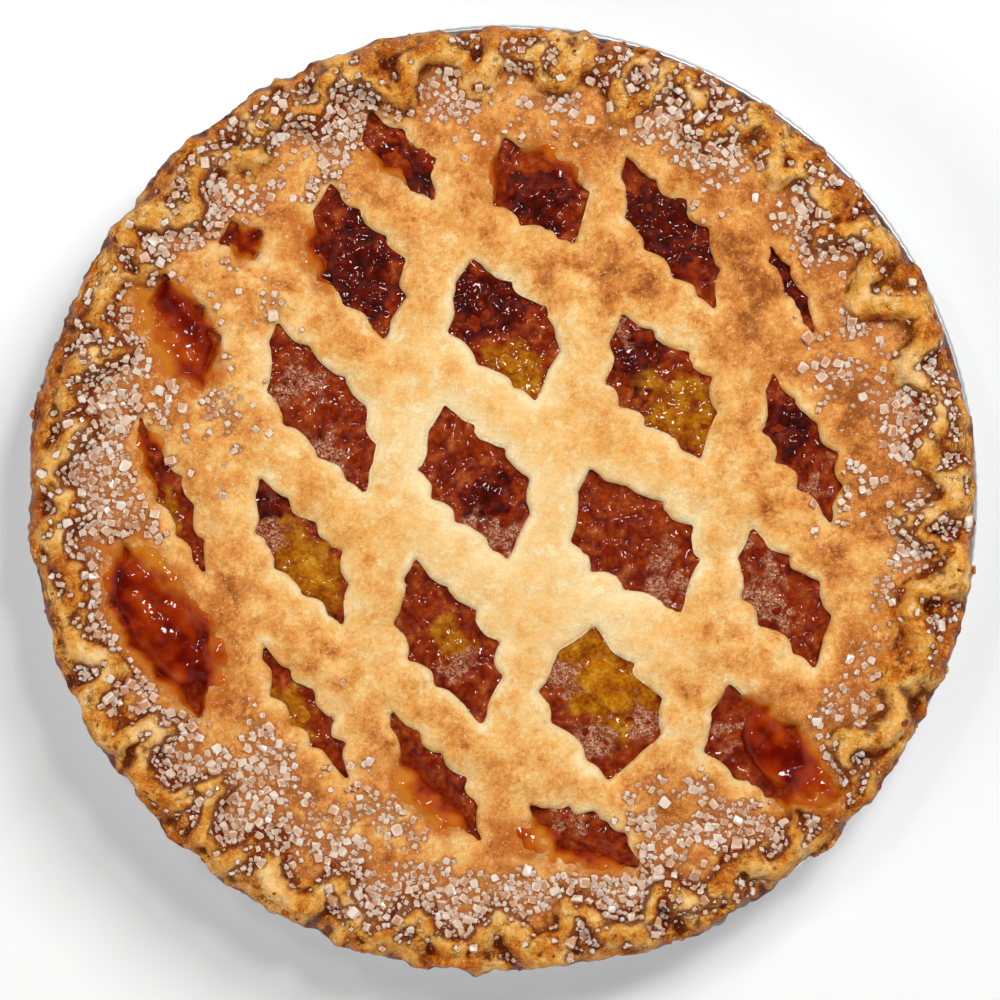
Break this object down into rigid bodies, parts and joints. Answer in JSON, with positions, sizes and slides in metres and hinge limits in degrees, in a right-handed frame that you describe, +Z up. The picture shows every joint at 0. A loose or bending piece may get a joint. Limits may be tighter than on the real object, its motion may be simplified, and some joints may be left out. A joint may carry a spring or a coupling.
{
  "type": "pineapple lattice pie in a foil tin",
  "caption": "Round baked fruit pie with a slit lattice lid, a pinched edge, dark fruit filling and coarse sugar, in its round foil tin.",
  "frame": {"origin": "centre of the foil tin's flat base", "axes": "+Z up, the lattice lies over XY, and its slits run about 60 degrees from +X towards -Y"},
  "size_m": [0.2465, 0.2462, 0.0453],
  "materials": {
    "foil": "bright pressed foil",
    "crust": "baked pastry, golden with browned patches and coarse sugar",
    "jam": "wet, sticky cooked fruit, dark red-brown",
    "pineapple": "wet cooked fruit, amber yellow"
  },
  "bodies": {
    "root": {"foil_tin": "foil", "pie_crust": "crust", "filling": "jam", "pineapple_chunk_1": "pineapple", "pineapple_chunk_2": "pineapple", "pineapple_chunk_3": "pineapple", "pineapple_chunk_4": "pineapple", "pineapple_chunk_5": "pineapple"}
  },
  "joints": []
}
